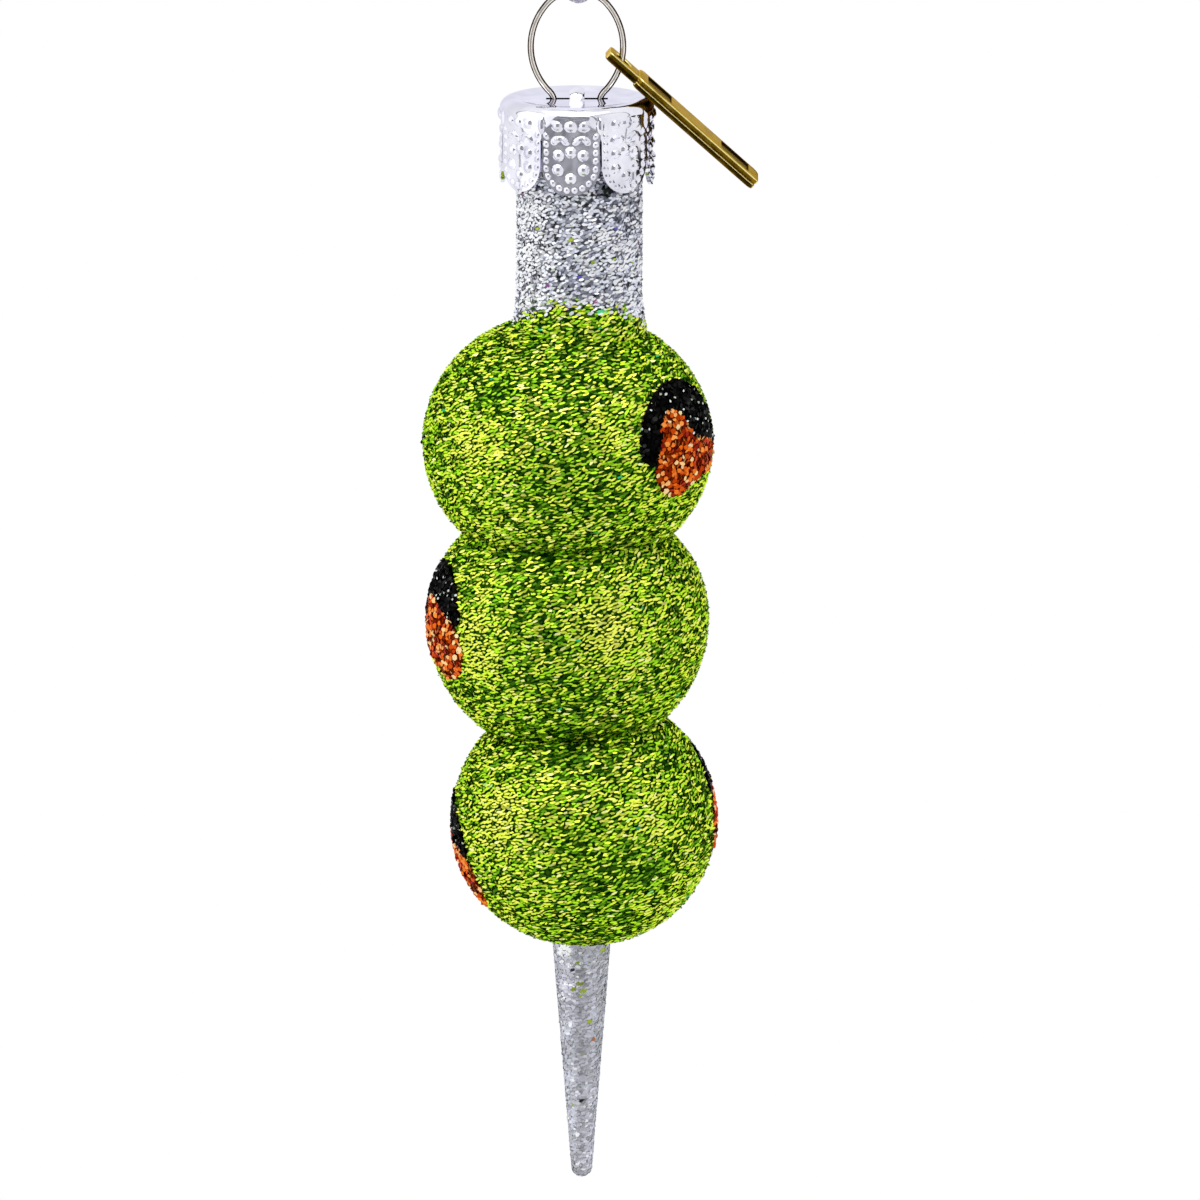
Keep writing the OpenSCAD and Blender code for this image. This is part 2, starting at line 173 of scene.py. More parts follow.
light = {
    "middle": -0.055,      # height that the lamps face
    "fill": 1.0,           # world light on the object
    "sky": (0.97, 0.98, 1, 1),
    "floor": (0.9, -0.5),  # radius and height
    "floorSides": 96,
    "floorGlow": 0.8,      # share of plain white that the floor shows
    "floorTones": [(0.3, paint(240, 240, 241)), (0.7, paint(248, 248, 248))],
    "floorMottle": 4.0, "cardMottle": 3.0,   # scale of the noise
    # azimuth, rise, distance, width, height, watts
    "boxes": {"left": (-68, 10, 0.75, 0.9, 1.2, 3.3), "right": (58, 8, 0.75, 0.75, 1.2, 2.05),
              "top": (-10, 68, 0.8, 0.9, 0.8, 2.3)},
    # azimuth, rise, distance, width, height, darkest and palest shade, height that it faces
    "cards": {"front": (-8, 6, 1.3, 1.5, 1.5, 122, 188, -0.055),
              "left_back": (-68, 10, 0.77, 1.0, 1.3, 120, 136, -0.055),
              "right_back": (58, 8, 0.77, 0.85, 1.3, 116, 132, -0.055),
              "flag": (128, -10, 0.08, 0.134, 0.016, 8, 16, -0.012)},
}


def around(azimuth, rise, away, height):
    a, r = math.radians(azimuth), math.radians(rise)
    back = Vector((math.sin(a) * math.cos(r), -math.cos(a) * math.cos(r), math.sin(r)))
    return Vector((0, 0, height)) + back * away, back.to_track_quat("Z", "Y").to_euler()


def makeLight():
    for name, (azimuth, rise, away, width, height, watts) in light["boxes"].items():
        lamp = bpy.data.lights.new(name + "_box", "AREA")
        lamp.shape = "RECTANGLE"
        lamp.size, lamp.size_y = width, height
        lamp.energy = watts
        box = bpy.data.objects.new(name + "_box", lamp)
        bpy.context.scene.collection.objects.link(box)
        box.location, box.rotation_euler = around(azimuth, rise, away, light["middle"])
        box.visible_camera = False
    for name, (azimuth, rise, away, width, height, dark, pale, facing) in light["cards"].items():
        mesh = bpy.data.meshes.new(name + "_card")
        w, h = width / 2, height / 2
        mesh.from_pydata([(-w, -h, 0), (w, -h, 0), (w, h, 0), (-w, h, 0)], [], [(0, 1, 2, 3)])
        card = bpy.data.objects.new(name + "_card", mesh)
        bpy.context.scene.collection.objects.link(card)
        card.location, card.rotation_euler = around(azimuth, rise, away, facing)
        card.visible_camera = False
        finish = Finish(name + "_card")
        greys = [(0.35, paint(dark, dark, dark + 2)), (0.65, paint(pale, pale, pale + 2))]
        grey = finish.ramp(greys, finish.noise(light["cardMottle"]))
        mesh.materials.append(finish.surface({"Base Color": grey, "Roughness": 0.9}))


def makeBackdrop():
    world = bpy.data.worlds.new("studio")
    bpy.context.scene.world = world
    sky = Finish("studio", world)
    direct = ("Is Camera Ray", "Is Glossy Ray", "Is Transmission Ray")
    plain = sum(sky.node("LightPath", output=ray) for ray in direct) > 0.5
    white = sky.node("Background", None, {"Color": (1, 1, 1, 1), "Strength": 1.0})
    fill = sky.node("Background", None, {"Color": light["sky"], "Strength": light["fill"]})
    both = sky.node("MixShader", None, {0: plain, 1: fill, 2: white})
    sky.node("OutputWorld", None, {"Surface": both})
    mesh = bpy.data.meshes.new("floor")
    wide, drop = light["floor"]
    sides = light["floorSides"]
    turns = [2 * math.pi * k / sides for k in range(sides)]
    rim = [(wide * math.cos(t), wide * math.sin(t), drop) for t in turns]
    mesh.from_pydata(rim, [], [tuple(range(sides))])
    floor = bpy.data.objects.new("floor", mesh)
    bpy.context.scene.collection.objects.link(floor)
    pale = Finish("floor")
    tone = pale.ramp(light["floorTones"], pale.noise(light["floorMottle"]))
    ground = pale.node("BsdfPrincipled", None, {"Base Color": tone, "Roughness": 0.8})
    glow = pale.node("Emission", None, {"Color": (1, 1, 1, 1), "Strength": 1.0})
    rays = sum(pale.node("LightPath", output=ray) for ray in direct)
    both = pale.node("MixShader", None, {0: light["floorGlow"] * (rays > 0.5), 1: ground, 2: glow})
    pale.node("OutputMaterial", None, {"Surface": both})
    mesh.materials.append(pale.owner)


makeCamera()
makeLight()
makeBackdrop()
bpy.context.scene.view_settings.view_transform = "Standard"
print("camera and light made")


# Cord: three twisted strands in a loop through the hanger, and its knot

cord = {
    "turn": -45,         # of the loop's plane about the upright, degrees
    # half of the loop, across and up
    "route": [(0, -0.45), (0.6, -0.35), (1.15, 0), (1.5, 0.55), (1.6, 1.15), (1.65, 2.5), (1.6, 4.5),
              (1.4, 6.5), (1.1, 8.5), (0.8, 10.5), (0.55, 12.5), (0.45, 13.5), (0.45, 14)],
    "thick": 0.8,
    "strands": 3,
    "strand": 0.27,      # a strand's radius as a share of the thickness
    "pitch": 1.9,        # length of one twist
    "step": 0.09,        # length between rings of the mesh
    "grain": 5200.0,
    "tones": [(0.3, paint(88, 86, 100)), (0.5, paint(176, 174, 190)), (0.68, paint(226, 225, 238))],
}


def cordFinish():
    finish = Finish("metallic_cord")
    streak = finish.noise(cord["grain"], 3.0)
    return finish.surface({"Base Color": finish.ramp(cord["tones"], streak), "Metallic": 0.7,
                           "Roughness": 0.34, "Normal": finish.bump(0.5, 0.04, streak)})


# A smooth line through points, at even steps
def smoothLine(points, step, finer=24):
    p = np.array(points, float)
    p = np.vstack([2 * p[0] - p[1], p, 2 * p[-1] - p[-2]])
    line = []
    for i in range(1, len(p) - 2):
        a, b, c, d = p[i - 1], p[i], p[i + 1], p[i + 2]
        for t in np.linspace(0, 1, finer, endpoint=False):
            line.append(0.5 * (2 * b + (c - a) * t + (2 * a - 5 * b + 4 * c - d) * t * t
                               + (3 * b - a - 3 * c + d) * t ** 3))
    line = np.array(line + [p[-2]])
    run = np.concatenate([[0], np.cumsum(np.linalg.norm(np.diff(line, axis=0), axis=1))])
    at = np.linspace(0, run[-1], max(2, int(round(run[-1] / step)) + 1))
    return np.stack([np.interp(at, run, line[:, k]) for k in range(3)], 1), at


# Two directions square to a line, carried along it without twist. No line starts along aside
def carriedFrames(line, aside=(0.31, 0.9, 0.28)):
    way = np.gradient(line, axis=0)
    way /= np.linalg.norm(way, axis=1)[:, None]
    side = np.cross(way[0], aside)
    sides = []
    for w in way:
        side = side - w * np.dot(side, w)
        side /= np.linalg.norm(side)
        sides.append(side)
    sides = np.array(sides)
    return sides, np.cross(way, sides)


# Closed tubes of one radius each along lines, in one mesh
def tubes(name, lines, radii, sides=8):
    verts, faces = [], []
    for line, radius in zip(lines, radii):
        one, two = carriedFrames(line)
        first = len(verts)
        for p, u, v in zip(line, one, two):
            for k in range(sides):
                a = 2 * math.pi * k / sides
                verts.append(p + radius * (math.cos(a) * u + math.sin(a) * v))
        for i in range(len(line) - 1):
            for k in range(sides):
                a, b = first + i * sides + k, first + i * sides + (k + 1) % sides
                faces.append((a, b, b + sides, a + sides))
        last = first + (len(line) - 1) * sides
        faces.append(tuple(first + k for k in reversed(range(sides))))
        faces.append(tuple(last + k for k in range(sides)))
    mesh = bpy.data.meshes.new(name)
    mesh.from_pydata([tuple(v) for v in verts], [], faces)
    return mesh


# The cord's strands about a line, with their radii
def twisted(line, run):
    one, two = carriedFrames(line)
    thick, count = cord["thick"] * mm, cord["strands"]
    strand = thick * cord["strand"]
    wound = []
    for k in range(count):
        a = 2 * math.pi * (run / (cord["pitch"] * mm) + k / count)
        wound.append(line + (thick / 2 - strand) * (np.cos(a)[:, None] * one + np.sin(a)[:, None] * two))
    return wound, [strand] * count


def makeCord():
    half = cord["route"]
    flat = [(-s, z) for s, z in reversed(half[1:])] + list(half)
    turn = math.radians(cord["turn"])
    points = [(s * math.cos(turn), s * math.sin(turn), z) for s, z in flat]
    line, run = smoothLine(np.array(points) * mm, cord["step"] * mm)
    finish = cordFinish()
    mesh = tubes("cord_strands", *twisted(line, run))
    piece = newPiece("cord_strands", mesh, "hanger", finish)
    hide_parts("hanging_cord")
    knot = makeKnot(finish, turn, half[-1][1])
    cord["thick"] * mm
    print("cord made, mm:", round(run[-1] / mm, 2))


# An overhand knot of the doubled cord, with two loose ends
overhand = {
    "radius": 1.3,
    "inside": 0.42,      # from the knot's outside to the middle of its cord
    "ring": 0.62, "wave": 0.34, "rise": 0.62,   # the winding, as shares of the radius left
    "rings": 121,
    "strand": 0.46,      # the wound cord's radius as a share of its thickness
    "middle": 1.15,      # height over the ends of the loop
    "tail": 3.5, "tailLean": 22,
    "tailFrom": 1.1, "tailSunk": 0.35,
}


def makeKnot(finish, turn, foot):
    big = (overhand["radius"] - overhand["inside"]) * mm
    t = np.linspace(0, 2 * math.pi, overhand["rings"])
    ring = big * overhand["ring"] + big * overhand["wave"] * np.cos(3 * t)
    wind = np.stack([ring * np.cos(2 * t), ring * np.sin(2 * t), big * overhand["rise"] * np.sin(3 * t)], 1)
    wind[:, 2] += (foot + overhand["middle"]) * mm
    lines, radii = [wind], [cord["thick"] * mm * overhand["strand"]]
    for side in (-1, 1):
        lean = math.radians(overhand["tailLean"]) * side
        way = np.array((math.sin(lean) * math.cos(turn), math.sin(lean) * math.sin(turn), math.cos(lean)))
        start = np.array((0, 0, (foot + overhand["tailFrom"]) * mm))
        reach = (overhand["radius"] + overhand["tail"] - overhand["tailSunk"]) * mm
        points = [start + way * reach * share for share in (0, 0.3, 0.6, 0.85, 1)]
        ends, thin = twisted(*smoothLine(points, cord["step"] * mm))
        lines += ends
        radii += thin
    piece = newPiece("cord_overhand_knot", tubes("cord_overhand_knot", lines, radii), "hanger",
                     finish)
    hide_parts("cord_knot")
    return piece


makeCord()


# Metals

metals = {
    "silver_cap": {"dark": paint(220, 220, 231), "pale": paint(245, 245, 254), "edge": paint(238, 238, 249),
                   "rough": 0.03, "grain": 420.0, "scratch": 0.04, "dents": 6.0, "dentGrain": 330.0},
    "glass": {"dark": paint(200, 204, 210), "pale": paint(232, 234, 238), "edge": paint(226, 230, 236),
              "rough": 0.05, "grain": 300.0, "scratch": 0.02},
}


def metalFinish(name):
    metal = metals[name]
    finish = Finish(name)
    wear = finish.noise(metal["grain"], 4.0)
    relief = finish.noise(metal["grain"] * 7) * metal["scratch"]
    if "dents" in metal:
        relief = relief + metal["dents"] * finish.noise(metal["dentGrain"], 1.0)
    tone = finish.ramp([(0.32, metal["dark"]), (0.68, metal["pale"])], wear)
    return finish.surface({"Base Color": tone, "Metallic": 1.0, "Roughness": metal["rough"] + wear * 0.1,
                           "Normal": finish.bump(1.0, 0.02, relief), "Specular Tint": metal["edge"]})


# Wire with painted light: a painted highlight down its front and back, painted shade along its inner and
# outer sides, and a near-black edge tint that darkens its rims
wire = {
    "thick": 0.55,
    # from painted shade along the sides to the painted highlight in front and behind
    "tones": [(0.3, paint(46, 34, 26)), (0.62, paint(92, 78, 64)), (0.82, paint(250, 244, 234))],
    "edge": paint(10, 6, 3),
    "rough": 0.16,
    "grain": 1500.0, "mottle": 0.3,
}


def wireWithPaintedLight():
    finish = Finish("wire")
    y = finish.node("SeparateXYZ", None, {0: finish.place()}, 1)
    grain = finish.noise(wire["grain"], 3.0)
    # near 1 facing front or back, where the painted highlight goes, near 0 along the sides, where the painted
    # shade goes
    front = y * y * (2 / (wire["thick"] * mm)) ** 2 + (grain - 0.5) * wire["mottle"]
    return finish.surface({"Base Color": finish.ramp(wire["tones"], front), "Metallic": 1.0,
                           "Roughness": wire["rough"], "Normal": finish.bump(0.3, 0.01, grain),
                           "Specular Tint": wire["edge"]})


dress("wire_hanger", wireWithPaintedLight())
dress("glass_body", metalFinish("glass"))


def turnOut(bm):
    bm.normal_update()
    bmesh.ops.recalc_face_normals(bm, faces=bm.faces)
    bm.normal_update()


# A mesh from bmesh, with edges over an angle kept sharp
def fromBmesh(name, bm, angle=38):
    turnOut(bm)
    for edge in bm.edges:
        edge.smooth = edge.calc_face_angle(0) < math.radians(angle)
    mesh = bpy.data.meshes.new(name)
    bm.to_mesh(mesh)
    bm.free()
    return mesh


# Crown cap: eight stamped petals under a rounded shoulder, a strap over two slots

cap = {
    "top": -9.155,           # height of its flat top
    "radius": 6.75, "flare": 0.2, "height": 7.6, "sheet": 0.3, "shoulder": 0.9,
    "petals": 8, "turn": -4.7,
    "slit": 5.0, "slitWidth": 0.2, "slitTaper": 0.25,
    "end": 2.5,              # depth of a petal's rounded end
    "flat": 0.6,             # how far a petal is flattened across
    "flatFrom": 0.9, "flatOver": 2.2,
    "columns": 66, "rows": 68, "bends": 9,
    "step": (5.25, 4.95, 0.14),   # outer and inner radius and depth of the sunk middle
    "brim": 0.2,             # from the top's flat to the shoulder
    "inner": 3.5,            # within this the middle is filled round its hole
    "slots": (2.698, 0.425),
    "strap": (0.65, 1.2),    # half of its width and of its length
    "strapArch": (1.75, -0.85),   # radius and height of its centre
    "strapReach": 66, "strapRings": 33, "strapColumns": 9, "strapCrown": 0.16,
    # across, height, size, lift
    "beads": [(-1.2, -1.42, 0.44, 0.24), (0, -1.42, 0.46, 0.26), (1.2, -1.42, 0.44, 0.24),
              (-1.12, -4.02, 0.47, 0.27), (0, -3.74, 0.48, 0.28), (1.12, -4.02, 0.47, 0.27),
              (1.16, -5.3, 0.47, 0.27), (0, -6.05, 0.46, 0.26), (-1.16, -5.3, 0.47, 0.27)],
    "border": (0.5, 0.7, 0.25, 0.15),   # inset, spacing, size, lift
    "borderTop": 2.35, "borderSteps": (40, 60),   # points of a side and of the end
    "brows": [(-0.98, -3.0), (0.98, -3.0)],
    "brow": (0.56, 0.2, 0.2, 1.1, 0.1),   # radius, half width, lift, squash, foot
    "drop": (-1.4, 0.4, 0.8, 0.2),        # height, half width, half length, lift
    "beadDome": 0.8, "dropDome": 0.7,     # the lower, the steeper at the rim
}


# Small beads along a petal's edge, down one side, round the end and up the other
def borderBeads(half):
    inset, spacing, size, lift = cap["border"]
    down, about = cap["borderSteps"]
    low = cap["height"] - cap["end"]
    side = [(half - inset, -z) for z in np.linspace(cap["borderTop"], low, down)]
    end = [((half - inset) * math.cos(t), -low - (cap["end"] - inset) * math.sin(t))
           for t in np.linspace(0, math.pi, about)]
    line = np.array(side + end[1:] + [(-x, z) for x, z in reversed(side)][1:])
    run = np.concatenate([[0], np.cumsum(np.linalg.norm(np.diff(line, axis=0), axis=1))])
    at = np.linspace(0, run[-1], int(round(run[-1] / spacing)) + 1)
    return [(np.interp(t, run, line[:, 0]), np.interp(t, run, line[:, 1]), size, lift) for t in at]


# How far the stamping lifts the sheet at a place on a petal
def stamping(x, z, half, beads):
    lift = 0.0
    for bx, bz, size, high in beads:
        d = ((x - bx) ** 2 + (z - bz) ** 2) / size ** 2
        if d < 1:
            lift = max(lift, high * (1 - d) ** cap["beadDome"])
    radius, wide, high, squash, foot = cap["brow"]
    for bx, bz in cap["brows"]:
        d = (math.hypot(x - bx, (z - bz) * squash) - radius) / wide
        if z > bz - foot and abs(d) < 1:
            lift = max(lift, high * (1 - d * d) * min(1, (z - bz + foot) / (2 * foot)))
    mid, wide, tall, high = cap["drop"]
    d = ((abs(x) - half) / wide) ** 2 + ((z - mid) / tall) ** 2
    if d < 1:
        lift = max(lift, high * (1 - d) ** cap["dropDome"])
    return lift


def makeCap():
    bm = bmesh.new()
    count = cap["petals"]
    wedge = math.pi / count
    half = (cap["radius"] + cap["flare"]) * wedge
    beads = cap["beads"] + borderBeads(half)
    height, shoulder = cap["height"], cap["shoulder"]
    low = height - cap["end"]
    slitTop = -height + cap["slit"]
    bend = cap["radius"] - shoulder
    outer, inner, sunk = cap["step"]
    profile = [(cap["inner"], -sunk), (inner, -sunk), (outer, 0), (bend - cap["brim"], 0)]
    profile += [(bend + shoulder * math.sin(t), -shoulder * (1 - math.cos(t)))
                for t in np.linspace(0, math.pi / 2, cap["bends"])[:-1]]
    for i in range(count):
        middle = math.radians(i * 360 / count + cap["turn"] - 90)
        grid = []
        for j in range(cap["columns"] + 1):
            t = math.pi * (j / cap["columns"] - 0.5)
            u = math.sin(t)
            column = []
            for r, z in profile:
                a = middle + u * wedge
                column.append(bm.verts.new((r * math.cos(a), r * math.sin(a), z)))
            end = -low - cap["end"] * math.cos(t)
            for k in range(cap["rows"] + 1):
                z = -shoulder + (end + shoulder) * k / cap["rows"]
                parted = min(1, max(0, (slitTop - z) / cap["slitTaper"]))
                off = u * (wedge - parted * cap["slitWidth"] / 2 / cap["radius"])
                wall = cap["radius"] + cap["flare"] * (-z - shoulder) / (height - shoulder)
                press = cap["flat"] * min(1, max(0, (-z - cap["flatFrom"]) / cap["flatOver"]))
                r = wall * (1 - press + press * math.cos(wedge) / math.cos(off))
                r += stamping(off * wall, z, half, beads)
                column.append(bm.verts.new((r * math.cos(middle + off), r * math.sin(middle + off), z)))
            grid.append(column)
        for left, right in zip(grid, grid[1:]):
            for k in range(len(left) - 1):
                bm.faces.new((left[k], left[k + 1], right[k + 1], right[k]))
    bmesh.ops.remove_doubles(bm, verts=bm.verts, dist=1e-4)
    rim = [e for e in bm.edges
           if e.is_boundary and all(abs(v.co.xy.length - cap["inner"]) < 1e-3 for v in e.verts)]
    x, y = cap["slots"]
    sx, sy = cap["strap"]
    hole = [(x, -y), (x, y), (sx, y), (sx, sy), (-sx, sy), (-sx, y),
            (-x, y), (-x, -y), (-sx, -y), (-sx, -sy), (sx, -sy), (sx, -y)]
    ring = [bm.verts.new((hx, hy, -sunk)) for hx, hy in hole]
    rim += [bm.edges.new(pair) for pair in zip(ring, ring[1:] + ring[:1])]
    bmesh.ops.triangle_fill(bm, edges=rim, use_beauty=True)
    bmesh.ops.recalc_face_normals(bm, faces=bm.faces)
    bmesh.ops.solidify(bm, geom=bm.faces[:], thickness=cap["sheet"])
    strapStrip(bm)
    place = Matrix.LocRotScale(Vector((0, 0, cap["top"] * mm)), None, Vector((mm,) * 3))
    bmesh.ops.transform(bm, matrix=place, verts=bm.verts)
    chrome = metalFinish("silver_cap")
    piece = newPiece("stamped_cap", fromBmesh("stamped_cap", bm), "cap", chrome)
    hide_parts("crown_cap")
    print("cap made, faces:", len(piece.data.polygons))


# The strap, an arched strip, crowned across
def strapStrip(bm):
    radius, foot = cap["strapArch"]
    wide, crown, reach = cap["strap"][0], cap["strapCrown"], cap["strapReach"]
    across = np.linspace(-1, 1, cap["strapColumns"])
    section = [(wide * u, crown * u * u) for u in across]
    section += [(wide * u, cap["sheet"]) for u in reversed(across)]
    rings = []
    for a in np.radians(np.linspace(-reach, reach, cap["strapRings"])):
        rings.append([bm.verts.new((x, (radius - depth) * math.sin(a), foot + (radius - depth) * math.cos(a)))
                      for x, depth in section])
    wallRings(bm, rings)
    bm.faces.new(rings[0][::-1])
    bm.faces.new(rings[-1])


# Walls between rings of equal count
def wallRings(bm, rings):
    for one, two in zip(rings, rings[1:]):
        for k in range(len(one)):
            bm.faces.new((one[k], one[(k + 1) % len(one)], two[(k + 1) % len(one)], two[k]))


makeCap()


# Hang tag: a bare doubled plate with a groove round its edge, two sunk bars on each face
# and a thinner tongue on the wire

tag = {
    "hole": (3.8256, 0, -6.167), "slope": 41.8,
    "holeRadius": 0.825, "holeSides": 40,
    "body": [(1.8, 2.0), (2.2, 2.4), (15.3, 2.2), (15.7, 1.8)],
    "tongue": [(-1.5, 1.6), (2.2, 1.6)],
    "round": 0.3, "tongueRound": 0.5, "barRound": 0.4,
    "sharp": 30,             # edges over this angle stay sharp
    # inset and height of the edge, from its middle to the face
    "bodyEdge": [(0.1, 0), (0.0, 0.11), (0.0, 0.38), (0.05, 0.47), (0.17, 0.525)],
    "tongueEdge": [(0.0, 0), (0.0, 0.27), (0.04, 0.36), (0.14, 0.4)],
    "holeEdge": [(0, 0.31), (0.09, 0.4)],   # widening and height
    "bars": [(2.75, 5.5), (11.3, 14.5)],
    "barSide": 1.85,
    "barEdge": [(0, 0), (0.03, 0.03), (0.07, 0.16)],   # inset and depth
    # painted light from above: pale tops, upper bevels and ends as painted highlight, dark undersides, lower
    # bevels and lower sides as painted shade, the tongue's sides darker; the sunk bars darkest
    "tones": {"top": 0.64, "under": 0.1, "upperBevel": 1.0, "lowerBevel": 0.28, "end": 0.92,
              "upperSide": 0.46, "lowerSide": 0.16, "tongueShare": 0.75, "bar": 0},
    "brass": [(0.0, paint(20, 16, 2)), (0.2, paint(70, 50, 4)), (0.5, paint(140, 110, 16)),
              (0.8, paint(214, 190, 98)), (1.0, paint(252, 234, 160))],
    "edge": paint(214, 186, 110),
    "wear": 900.0, "wearShare": 0.7, "grain": 6500.0,
}


def brassFinish():
    finish = Finish("brass")
    wear = finish.noise(tag["wear"], 5.0, 0.65)
    # the tone attribute carries the painted light: pale above, dark below
    tone = finish.node("Attribute", {"attribute_name": "tone"}, None, "Fac")
    colour = finish.ramp(tag["brass"], tone + (wear - 0.5) * tag["wearShare"])
    bump = finish.bump(0.3, 0.03, finish.noise(tag["grain"]))
    return finish.surface({"Base Color": colour, "Metallic": 0.97, "Roughness": 0.18 + wear * 0.2,
                           "Normal": bump, "Specular Tint": tag["edge"]})


# Painted light from above: bright along its upper edges and ends as painted highlight, and dark below as
# painted shade
def paintedLightTone(face):
    tones = tag["tones"]
    up, along, at = face.normal.z, abs(face.normal.x), face.calc_center_median()
    if abs(up) > 0.9:
        return tones["top"] if up > 0 else tones["under"]
    if abs(up) > 0.3:
        return tones["upperBevel"] if up > 0 else tones["lowerBevel"]
    if along > 0.8:
        return tones["end"]
    side = tones["upperSide"] if at.z > 0 else tones["lowerSide"]
    return side if at.x > tag["body"][0][0] else side * tones["tongueShare"]


# A closed loop drawn in by inset, its corners rounded over no more than a share of a side
def roundedLoop(corners, inset, radius, steps=7, share=0.4):
    n = len(corners)
    points = [Vector(c) for c in corners]
    drawn = []
    for k in range(n):
        p, q, r = points[k - 1], points[k], points[(k + 1) % n]
        one, two = (q - p).normalized(), (r - q).normalized()
        inOne, inTwo = Vector((one.y, -one.x)), Vector((two.y, -two.x))
        corner = q + (inOne + inTwo) * inset / (1 + inOne.dot(inTwo))
        reach = min(radius, (q - p).length * share, (r - q).length * share)
        a, b = corner - one * reach, corner + two * reach
        for t in np.linspace(0, 1, steps):
            drawn.append((a * (1 - t) + corner * t) * (1 - t) + (corner * (1 - t) + b * t) * t)
    return drawn


def mirroredLoop(half):
    return half + [(x, -y) for x, y in reversed(half)]


def ringOf(bm, loop, z):
    return [bm.verts.new((p[0], p[1], z)) for p in loop]


# A flat face inside the first loop and outside the others
def fillLoops(bm, loops):
    edges = []
    for loop in loops:
        for k in range(len(loop)):
            pair = (loop[k], loop[(k + 1) % len(loop)])
            edges.append(bm.edges.get(pair) or bm.edges.new(pair))
    return [f for f in bmesh.ops.triangle_fill(bm, edges=edges, use_beauty=True)["geom"]
            if isinstance(f, bmesh.types.BMFace)]


# The walls of a flat plate, with its edge alike above and below
def plateWalls(bm, half, edge, radius):
    levels = [(inset, -z) for inset, z in reversed(edge[1:])] + edge
    loop = mirroredLoop(half)
    rings = [ringOf(bm, roundedLoop(loop, inset, radius), z) for inset, z in levels]
    wallRings(bm, rings)
    return rings


def makeTag():
    bm = bmesh.new()
    tone = bm.faces.layers.float.new("tone")
    bars = set()
    # the body, with its bars
    body = plateWalls(bm, tag["body"], tag["bodyEdge"], tag["round"])
    top = tag["bodyEdge"][-1][1]
    for side, ring in ((-1, body[0]), (1, body[-1])):
        brims = [ring]
        for near, far in tag["bars"]:
            loop = mirroredLoop([(near, tag["barSide"]), (far, tag["barSide"])])
            bar = [ringOf(bm, roundedLoop(loop, inset, tag["barRound"]), side * (top - drop))
                   for inset, drop in tag["barEdge"]]
            wallRings(bm, bar)
            bars.update(fillLoops(bm, [bar[-1]]))
            bars.update(f for v in bar[1] for f in v.link_faces)
            brims.append(bar[0])
        fillLoops(bm, brims)
    # the tongue, with its hole
    tongue = plateWalls(bm, tag["tongue"], tag["tongueEdge"], tag["tongueRound"])
    turns = [2 * math.pi * k / tag["holeSides"] for k in range(tag["holeSides"])]
    bores = []
    for wider, z in [(wider, -z) for wider, z in reversed(tag["holeEdge"])] + tag["holeEdge"]:
        radius = tag["holeRadius"] + wider
        bores.append(ringOf(bm, [(radius * math.cos(t), radius * math.sin(t)) for t in turns], z))
    wallRings(bm, bores)
    fillLoops(bm, [tongue[0], bores[0]])
    fillLoops(bm, [tongue[-1], bores[-1]])
    turnOut(bm)
    # each face's painted light, the bars darkest
    for face in bm.faces:
        face[tone] = tag["tones"]["bar"] if face in bars else paintedLightTone(face)
    place = Matrix.Translation(Vector(tag["hole"]) * mm) @ Matrix.Rotation(math.radians(tag["slope"]), 4, "Y")
    bmesh.ops.transform(bm, matrix=place @ Matrix.Scale(mm, 4), verts=bm.verts)
    piece = newPiece("bare_tag", fromBmesh("bare_tag", bm, tag["sharp"]), "tag", brassFinish())
    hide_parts("hang_tag")
    print("tag made, faces:", len(piece.data.polygons))


makeTag()
